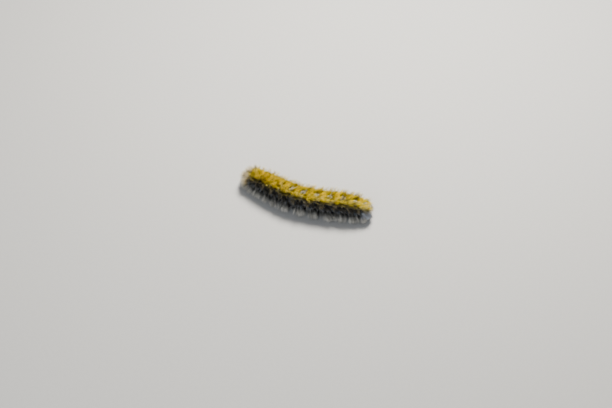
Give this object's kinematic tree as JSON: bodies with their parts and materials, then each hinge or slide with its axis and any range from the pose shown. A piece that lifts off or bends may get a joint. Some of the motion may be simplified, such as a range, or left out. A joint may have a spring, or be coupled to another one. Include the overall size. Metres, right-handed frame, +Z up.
{
  "type": "hairy moth larva",
  "caption": "Still, life-size hairy moth larva walking on a flat surface: ringed body with a golden back, grey side fringes, dark head, walking legs and prolegs.",
  "frame": {"origin": "on the floor, under the middle of the outline of the body and its hair", "axes": "+X along the body towards the tail, +Y to the larva's right side, +Z up"},
  "size_m": [0.0466, 0.0246, 0.0095],
  "materials": {
    "coat": "long, fine hair: golden yellow over the back, cream at the tips, grey on the sides",
    "head": "dark, hard, slightly glossy horn",
    "leg": "black, hard, slightly glossy horn",
    "proleg": "soft grey-black skin"
  },
  "bodies": {
    "root": {"abdomen_1": "coat", "abdomen_10": "coat", "abdomen_2": "coat", "abdomen_3": "coat", "abdomen_4": "coat", "abdomen_5": "coat", "abdomen_6": "coat", "abdomen_7": "coat", "abdomen_8": "coat", "abdomen_9": "coat", "antenna_left": "head", "antenna_right": "head", "head": "head", "leg_thorax_1_left": "leg", "leg_thorax_1_right": "leg", "leg_thorax_2_left": "leg", "leg_thorax_2_right": "leg", "leg_thorax_3_left": "leg", "leg_thorax_3_right": "leg", "proleg_abdomen_10_left": "proleg", "proleg_abdomen_10_right": "proleg", "proleg_abdomen_3_left": "proleg", "proleg_abdomen_3_right": "proleg", "proleg_abdomen_4_left": "proleg", "proleg_abdomen_4_right": "proleg", "proleg_abdomen_5_left": "proleg", "proleg_abdomen_5_right": "proleg", "proleg_abdomen_6_left": "proleg", "proleg_abdomen_6_right": "proleg", "thorax_1": "coat", "thorax_2": "coat", "thorax_3": "coat"}
  },
  "joints": []
}
